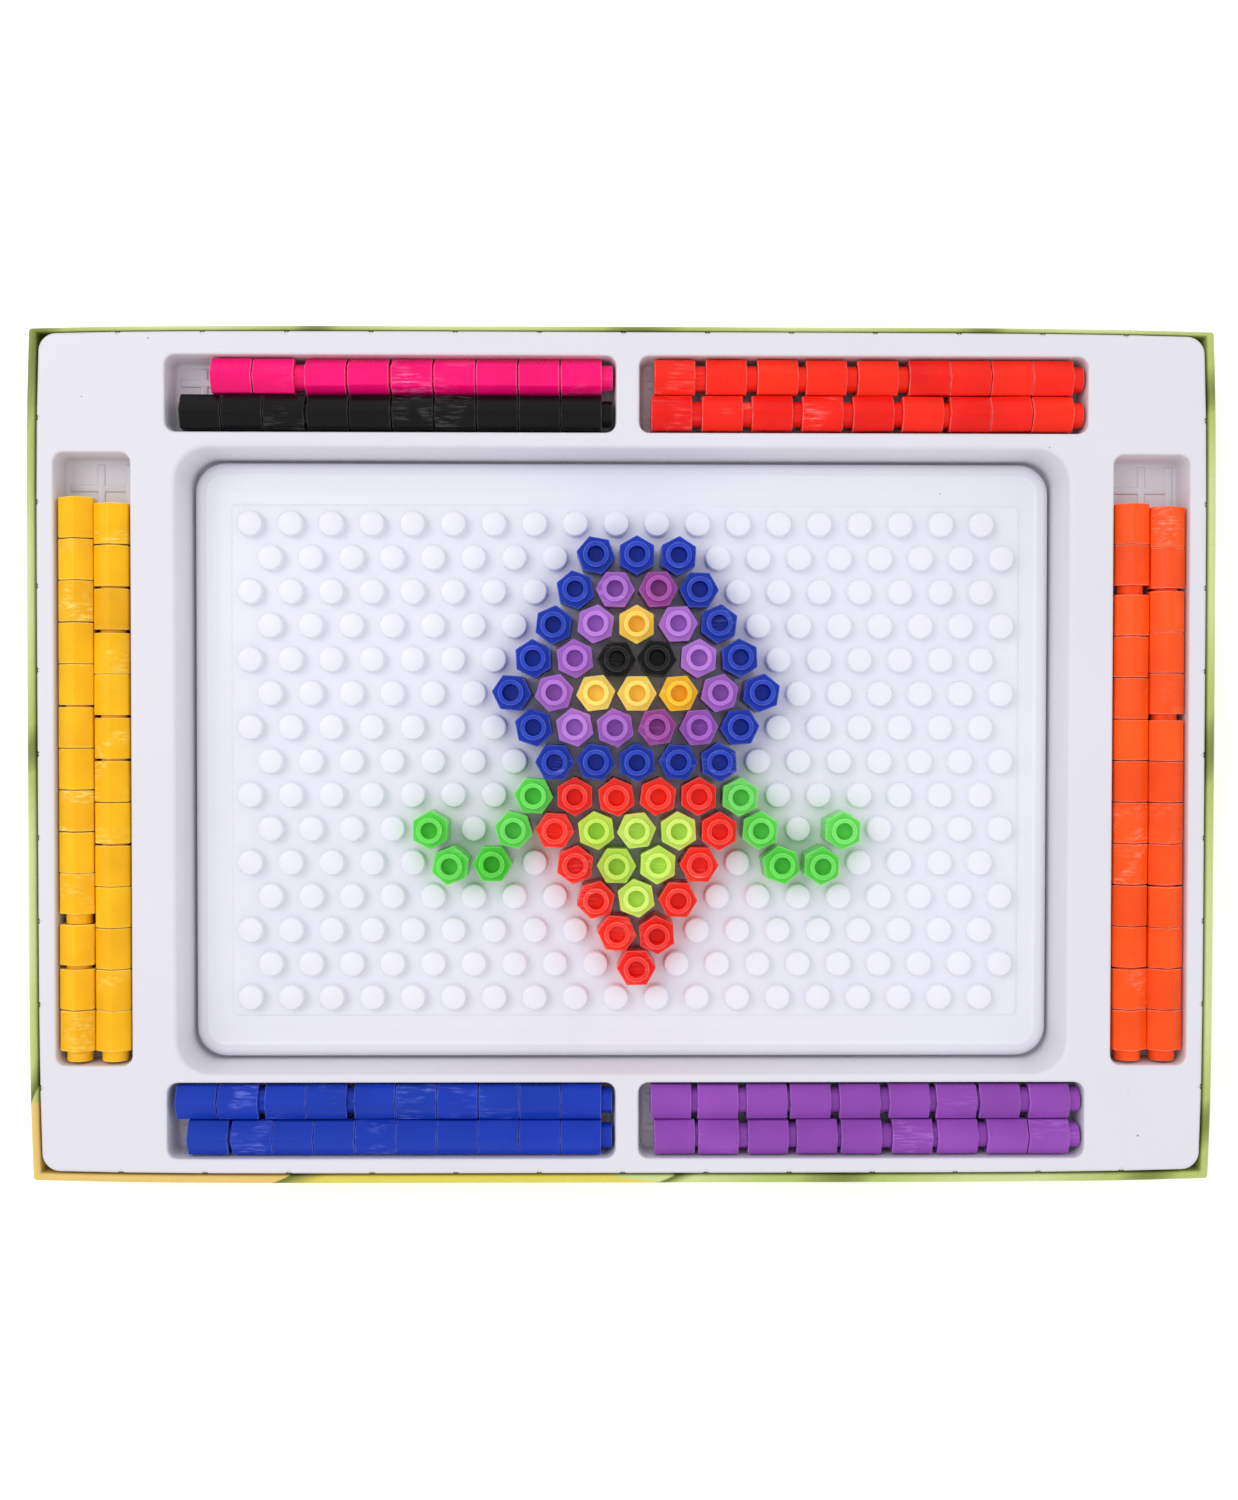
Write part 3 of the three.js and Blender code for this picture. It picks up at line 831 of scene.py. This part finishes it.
class KIT_OT_board_beads(bpy.types.Operator):
    """Set the beads of the figure on their pegs"""

    bl_idname = "kit.board_beads"
    bl_label = "Beads on the board"

    def execute(self, context):
        layout = Layout(context.scene)
        template = bead_mesh(context.scene.kit_bead)
        rng = random.Random(BEAD_SEED)
        for node_name, (colour_name, pegs) in board_beads().items():
            matrices = []
            for row, step, turn in pegs:
                lean = Euler((rng.gauss(0, 0.012), rng.gauss(0, 0.012), math.radians(turn)))
                foot = layout.peg(row, step) + Vector((0, 0, 0.3 * MM))
                matrices.append(Matrix.Translation(foot) @ lean.to_matrix().to_4x4())
            finish_piece(
                node_name + "_fine",
                placed_copies(template, matrices, rng, PALER.get(colour_name, 0)),
                [bead_material(context, colour_name)],
                node_name,
                [node_name],
            )
        bpy.data.meshes.remove(template)
        return {"FINISHED"}


def stick_matrices(name, sizes, rng):
    """A matrix for each bead of a stick, from the box of its CAD node."""
    low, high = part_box(name)
    middle = (low + high) / 2
    along_x = high.x - low.x > high.y - low.y
    if along_x:
        start = Vector((low.x, middle.y, middle.z))
        axes = Matrix(((0, 0, 1), (1, 0, 0), (0, 1, 0))).to_4x4()
    else:
        start = Vector((middle.x, high.y, middle.z))
        axes = Matrix(((1, 0, 0), (0, 0, -1), (0, 1, 0))).to_4x4()
    reach = 0.0
    matrices = []
    for i, gap in enumerate((*STICK_GAPS[name], 0)):
        roll = rng.gauss(0, 0.03) + (math.radians(30) if i >= LAID_FLAT.get(name, 99) else 0)
        tilt = Euler((rng.gauss(0, 0.004), rng.gauss(0, 0.004), roll)).to_matrix().to_4x4()
        matrices.append(
            Matrix.Translation(start) @ axes @ Matrix.Translation((0, 0, reach)) @ tilt
        )
        reach += sizes.body + gap * MM
    return matrices


class KIT_OT_sticks(bpy.types.Operator):
    """Lay the sticks of plugged beads in their compartments"""

    bl_idname = "kit.sticks"
    bl_label = "Bead sticks"

    def execute(self, context):
        sizes = context.scene.kit_bead
        template = bead_mesh(sizes)
        rng = random.Random(STICK_SEED)
        for name in STICK_GAPS:
            colour_name = name.split("_")[0]
            finish_piece(
                name + "_beads",
                placed_copies(template, stick_matrices(name, sizes, rng), rng),
                [bead_material(context, colour_name)],
                name,
                [name],
            )
        bpy.data.meshes.remove(template)
        return {"FINISHED"}


# ---------------------------------------------------------------- pegboard


def peg_mesh(sizes):
    """One peg that stands on the origin, with a small fillet and a rounded top edge."""
    bm = bmesh.new()
    radius, height = sizes.peg_width / 2, sizes.peg_height
    easing, bend, top = 0.35 * MM, 0.16 * MM, 0.52 * MM
    profile = (
        (radius + easing, 0),
        (radius, easing),
        (radius, height - top),
        (radius - bend, height - bend),
        (radius - top, height),
    )
    bm.faces.new(lofted(bm, [circle(r, z, PEG_POINTS) for r, z in profile])[1])
    return template_mesh(bm, "peg_template")


class KIT_OT_pegboard(bpy.types.Operator):
    """Mould the pegboard"""

    bl_idname = "kit.pegboard"
    bl_label = "Pegboard"

    def execute(self, context):
        sizes = context.scene.kit_board
        layout = Layout(context.scene)
        low, high = layout.board_low, layout.board_high
        border = layout.peg_base - sizes.field_step
        template = peg_mesh(sizes)
        spots = []
        for row in range(1, PEG_ROWS + 1):
            for column in range(PEG_COLUMNS):
                step = column - PEG_COLUMNS // 2 - (0.5 if row % 2 else 0)
                spots.append(Matrix.Translation(layout.peg(row, step)))
        bm = placed_copies(template, spots)
        bpy.data.meshes.remove(template)

        pegs = len(bm.faces)
        size, middle = high - low, (low + high) / 2
        loops = []
        for inset, level in self.profile(sizes, low.z, border):
            loops.append(
                rounded_rectangle(
                    middle,
                    size.x - 2 * inset,
                    size.y - 2 * inset,
                    max(sizes.corner - inset, 0.2 * sizes.corner),
                    level,
                )
            )
        bm.faces.new(lofted(bm, loops)[1])
        bm.faces.ensure_lookup_table()
        shell = bm.faces[pegs:]
        bmesh.ops.recalc_face_normals(bm, faces=shell)
        if shell[-1].normal.z < 0:
            bmesh.ops.reverse_faces(bm, faces=shell)
        bmesh.ops.solidify(bm, geom=shell, thickness=sizes.wall)

        first, last = layout.peg(15, -9.5), layout.peg(1, 9)
        middle = (first + last) / 2
        loops = []
        for beyond, below in ((1, 0.8), (1, 0.4), (0.8, 0.25), (0.45, 0.08), (0, 0)):
            grow = 2 * (sizes.field_margin + beyond * MM)
            loops.append(
                rounded_rectangle(
                    middle,
                    last.x - first.x + grow,
                    last.y - first.y + grow,
                    1.5 * MM,
                    layout.peg_base - below * MM,
                )
            )
        field = len(bm.faces)
        for row in lofted(bm, loops):
            bm.faces.new(row)
        bm.faces.ensure_lookup_table()
        bmesh.ops.recalc_face_normals(bm, faces=bm.faces[field:])
        finish_piece(
            "peg_board", bm, [bpy.data.materials["moulded_board"]], "board",
            ["pegboard"], sharp=50,
        )
        return {"FINISHED"}

    def profile(self, sizes, foot, border):
        """The board's section from its foot: wall, rounded shoulder, ridge, valley and border."""
        yield 0, foot
        for step in range(8):
            angle = step / 7 * math.pi / 2
            yield (
                sizes.shoulder * (1 - math.cos(angle)),
                border - sizes.shoulder * (1 - math.sin(angle)),
            )
        for beyond, rise in ((0.3, 0.1), (0.6, 0.16), (0.9, 0.1), (1.4, -0.12), (1.9, -0.16)):
            yield sizes.shoulder + beyond * MM, border + rise * MM
        for beyond, rise in ((4.6, -0.16), (5.1, -0.1), (5.6, 0)):
            yield sizes.shoulder + beyond * MM, border + rise * MM


# ---------------------------------------------------------------- tray


def fluted_outline(layout, sizes, bow, z):
    """The tray's outline, fluted along its straight sides and pulled in at the corners."""
    low, high = layout.tray_low, layout.tray_high
    shrink = sizes.edge + 0.3 * MM
    shift = sizes.far_reach / 2
    half = Vector((high.x - low.x, high.y - low.y)) / 2 - Vector((shrink, shrink - shift))
    radius = sizes.corner - shrink
    points = []
    for side in range(4):
        along = half.y if side % 2 == 0 else half.x
        across = half.x if side % 2 == 0 else half.y
        run = [(across, -along + radius)]
        count = int((along - radius - sizes.flute_width) // sizes.flute_spacing)
        for i in range(-count, count + 1):
            middle = i * sizes.flute_spacing
            for share, depth in ((-0.5, 0), (-0.25, 0.6), (0, 1), (0.25, 0.6), (0.5, 0)):
                run.append(
                    (across - depth * sizes.flute_depth, middle + share * sizes.flute_width)
                )
        run.append((across, along - radius))
        for k in range(1, 7):
            angle = k / 7 * math.pi / 2
            run.append(
                (
                    across - radius + radius * math.cos(angle),
                    along - radius + radius * math.sin(angle),
                )
            )
        turn = Matrix.Rotation(side * math.pi / 2, 2)
        points += [turn @ Vector(p) for p in run]
    return [Vector((*layout.bowed(p.x, p.y + shift, bow), z)) for p in points]


def pocket(bm, middle, size_x, size_y, corner, lip, floor_round, rim, floor, lean):
    """A pocket from its rim down to its floor. Returns the loop that meets the flat top."""
    apron = 0.15 * MM
    grow = lip + apron
    top = ring(
        bm,
        rounded_rectangle(middle, size_x + 2 * grow, size_y + 2 * grow, corner + grow, rim),
    )
    edges = step_ring(bm, top, apron, 0)
    edges = round_over(bm, edges, lip, 4)
    wall = rim - floor - lip - floor_round
    edges = step_ring(bm, edges, lean * wall, wall)
    edges = round_under(bm, edges, floor_round, 4)
    edges = step_ring(bm, edges, apron, 0)
    bmesh.ops.edgeloop_fill(bm, edges=edges)
    return top


class KIT_OT_tray(bpy.types.Operator):
    """Form the tray with its recess and compartments"""

    bl_idname = "kit.tray"
    bl_label = "Formed tray"

    def execute(self, context):
        sizes = context.scene.kit_tray
        layout = Layout(context.scene)
        rim = layout.rim
        bm = bmesh.new()
        outer = ring(bm, fluted_outline(layout, sizes, context.scene.kit_box.bow, rim))
        edges = step_ring(bm, outer, -0.3 * MM, 0)
        edges = round_over(bm, edges, sizes.edge, 4, outward=True)
        step_ring(bm, edges, 0, rim - sizes.edge - layout.tray_low.z)
        loops = list(outer)
        middle, size_x, size_y, floor = layout.recess()
        loops += pocket(
            bm, middle, size_x, size_y, sizes.recess_corner, sizes.recess_lip,
            sizes.floor_round, rim, floor, layout.lean,
        )
        for middle, size_x, size_y, floor in layout.compartments():
            loops += pocket(
                bm, middle, size_x, size_y, sizes.pocket_corner, sizes.lip,
                sizes.floor_round, rim, floor, layout.lean,
            )
        bmesh.ops.triangle_fill(bm, use_beauty=True, edges=loops, normal=(0, 0, 1))
        bmesh.ops.recalc_face_normals(bm, faces=bm.faces)
        if sum(f.normal.z * f.calc_area() for f in bm.faces) < 0:
            bmesh.ops.reverse_faces(bm, faces=bm.faces)
        tray = finish_piece(
            "formed_tray", bm, [bpy.data.materials["moulded_tray"]], "tray",
            ["tray_insert"], sharp=50,
        )
        sheet = tray.modifiers.new("Sheet", "SOLIDIFY")
        sheet.thickness = sizes.sheet
        sheet.offset = -1
        self.ribs(layout, sizes)
        return {"FINISHED"}

    def ribs(self, layout, sizes):
        """Low flat ribs in a grid on the floor of each compartment."""
        bm = bmesh.new()
        for middle, size_x, size_y, floor in layout.compartments():
            shrink = 2 * (layout.lean * (layout.rim - floor) + sizes.floor_round)
            size = Vector((size_x - shrink, size_y - shrink))
            along = 0 if size.x > size.y else 1
            end = 1 if along else -1  # the side on which the sticks leave the floor free
            lanes = (0, 0.9) if along else (-0.5, 0.5)
            lines = [(1 - along, share * 0.95 * sizes.rib_spacing) for share in lanes]
            count = int((size[along] - 7 * MM) // sizes.rib_spacing) + 1
            for i in range(count):
                lines.append((along, end * (size[along] / 2 - 7 * MM - i * sizes.rib_spacing)))
            for across, offset in lines:
                half = size / 2
                half[across] = sizes.rib_width / 2
                centre = middle.copy()
                centre[across] += offset
                low = Vector((*(centre - half), floor - 0.2 * MM))
                lower = 0.06 * MM if across == along else 0
                high = Vector((*(centre + half), floor + sizes.rib_height - lower))
                bar = block(bm, low, high)
                upper = max(bar, key=lambda f: f.calc_center_median().z)
                bmesh.ops.bevel(
                    bm,
                    geom=list(upper.edges),
                    offset=RIB_BEVEL,
                    offset_type="OFFSET",
                    affect="EDGES",
                    segments=2,
                    profile=0.5,
                    material=-1,
                    clamp_overlap=True,
                )
        finish_piece(
            "tray_floor_ribs", bm, [bpy.data.materials["moulded_tray"]], "tray"
        )


# ---------------------------------------------------------------- box


class KIT_OT_box(bpy.types.Operator):
    """Fold the printed card box"""

    bl_idname = "kit.box"
    bl_label = "Card box"

    def execute(self, context):
        sizes = context.scene.kit_box
        layout = Layout(context.scene)
        low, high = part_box("box_base")
        card = (high.x - layout.tray_high.x) - 0.6 * MM
        fold = min(sizes.fold, card / 2)
        steps = [k / 5 * math.pi / 2 for k in range(6)]
        section = [(0, low.z)]
        section += [(fold * (1 - math.cos(a)), high.z - fold * (1 - math.sin(a))) for a in steps]
        section += [
            (card - fold * (1 - math.sin(a)), high.z - fold * (1 - math.cos(a))) for a in steps
        ]
        section.append((card, low.z + card))
        bm = bmesh.new()
        loops = [self.outline(layout, sizes, low, high, *place) for place in section]
        for row in lofted(bm, loops):
            bm.faces.new(row)
        bmesh.ops.recalc_face_normals(bm, faces=bm.faces)
        bm.normal_update()
        for face in bm.faces:
            below = face.calc_center_median().z < low.z + 1e-4
            face.material_index = 1 if below and face.normal.z < -0.5 else 0
        finish_piece(
            "card_box",
            bm,
            [printed_paper(context.scene.kit_colours), bare_card(context.scene.kit_colours)],
            "box",
            ["box_base"],
        )
        return {"FINISHED"}

    def outline(self, layout, sizes, low, high, inset, z):
        """A loop of the box at a height, in by the inset (less on the thin far side) and bowed."""
        start = Vector((low.x + inset, low.y + inset))
        end = Vector((high.x - inset, high.y - inset * sizes.far_share))
        corners = rounded_rectangle(
            (start + end) / 2, *(end - start), max(sizes.corner - inset, 0.4 * MM), z, steps=3
        )
        points = []
        for i, point in enumerate(corners):
            points.append(point)
            after = corners[(i + 1) % len(corners)]
            if i % 4 == 3:
                points += [point.lerp(after, k / 24) for k in range(1, 24)]
        share = (z - low.z) / (high.z - low.z)
        for point in points:
            x, y = layout.bowed(point.x, point.y, sizes.bow)
            point.x += (x - point.x) * share
            point.y += (y - point.y) * share
        return points


# ---------------------------------------------------------------- stage


def area_light(name, place, aim, size, power):
    data = bpy.data.lights.new(name, "AREA")
    data.shape = "RECTANGLE"
    data.size, data.size_y = size
    data.energy = power
    light = bpy.data.objects.new(name, data)
    light.location = place
    light.rotation_euler = (Vector(aim) - Vector(place)).to_track_quat("-Z", "Y").to_euler()
    bpy.context.scene.collection.objects.link(light)
    return light


class KIT_OT_stage(bpy.types.Operator):
    """Set the camera, the floor, the light and the shared plastics"""

    bl_idname = "kit.stage"
    bl_label = "Stage"

    def execute(self, context):
        scene = context.scene
        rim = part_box("tray_insert")[1].z
        low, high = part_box("pegboard")
        middle = (low + high) / 2

        data = bpy.data.cameras.new("camera")
        data.sensor_width = 36
        data.lens = 42.8
        data.clip_start = 0.01
        camera = bpy.data.objects.new("camera", data)
        camera.location = (middle.x - 6.8 * MM, middle.y + 13.9 * MM, rim + 516.1 * MM)
        camera.rotation_euler = (math.radians(-1.15), math.radians(-0.62), math.radians(0.06))
        scene.collection.objects.link(camera)
        scene.camera = camera

        bm = bmesh.new()
        bmesh.ops.create_grid(bm, x_segments=1, y_segments=1, size=3)
        mesh = bpy.data.meshes.new("floor")
        bm.to_mesh(mesh)
        bm.free()
        floor = bpy.data.objects.new("floor", mesh)
        material, tree, shader = bare_material("floor_white")
        preset(shader, {
            "Base Color": (0.95, 0.95, 0.95, 1),
            "Roughness": 0.9,
            "Specular IOR Level": 0.1,
            "Emission Color": (1, 1, 1, 1),
            "Emission Strength": 0.25,
        })
        mesh.materials.append(material)
        scene.collection.objects.link(floor)

        world = bpy.data.worlds.new("studio")
        scene.world = world
        world.use_nodes = True
        sky = world.node_tree.nodes["Background"]
        sky.inputs["Color"].default_value = (0.97, 0.975, 1, 1)
        height = node(world.node_tree, "ShaderNodeSeparateXYZ")
        feed(
            world.node_tree,
            height.inputs["Vector"],
            node(world.node_tree, "ShaderNodeTexCoord").outputs["Generated"],
        )
        level = spread(world.node_tree, height.outputs["Z"], 0.1, 0.8, 1.14, 0.94)
        feed(world.node_tree, sky.inputs["Strength"], level)
        area_light("key", (-0.9, 0.5, 1.4), (0, 0, 0), (0.8, 0.8), 5)
        scene.view_settings.view_transform = "Standard"

        colours = scene.kit_colours
        white_plastic("moulded_tray", tuple(colours.tray), 0.36, 0.0002, TRAY_SPECKS)
        white_plastic("moulded_board", tuple(colours.board), 0.3, 0.00003, BOARD_SPECKS)
        return {"FINISHED"}


class KIT_PT_panel(bpy.types.Panel):
    bl_idname = "KIT_PT_panel"
    bl_label = "Bead kit"
    bl_space_type = "VIEW_3D"
    bl_region_type = "UI"
    bl_category = "Bead kit"

    def draw(self, context):
        for operator in OPERATORS:
            self.layout.operator(operator.bl_idname)
        for name in SETTINGS:
            column = self.layout.column(align=True)
            settings = getattr(context.scene, name)
            for key in settings.__annotations__:
                column.prop(settings, key)


SETTINGS = {
    "kit_bead": BeadSizes,
    "kit_board": BoardSizes,
    "kit_tray": TraySizes,
    "kit_box": BoxSizes,
    "kit_colours": KitColours,
}
OPERATORS = (
    KIT_OT_stage,
    KIT_OT_box,
    KIT_OT_tray,
    KIT_OT_pegboard,
    KIT_OT_sticks,
    KIT_OT_board_beads,
)


def register():
    for kind in (*SETTINGS.values(), *OPERATORS, KIT_PT_panel):
        bpy.utils.register_class(kind)
    for name, kind in SETTINGS.items():
        setattr(bpy.types.Scene, name, PointerProperty(type=kind))


def unregister():
    for name in SETTINGS:
        delattr(bpy.types.Scene, name)
    for kind in reversed((*SETTINGS.values(), *OPERATORS, KIT_PT_panel)):
        bpy.utils.unregister_class(kind)


def main():
    register()
    bpy.ops.kit.stage()
    bpy.ops.kit.box()
    bpy.ops.kit.tray()
    bpy.ops.kit.pegboard()
    bpy.ops.kit.sticks()
    bpy.ops.kit.board_beads()


if __name__ == "__main__":
    main()
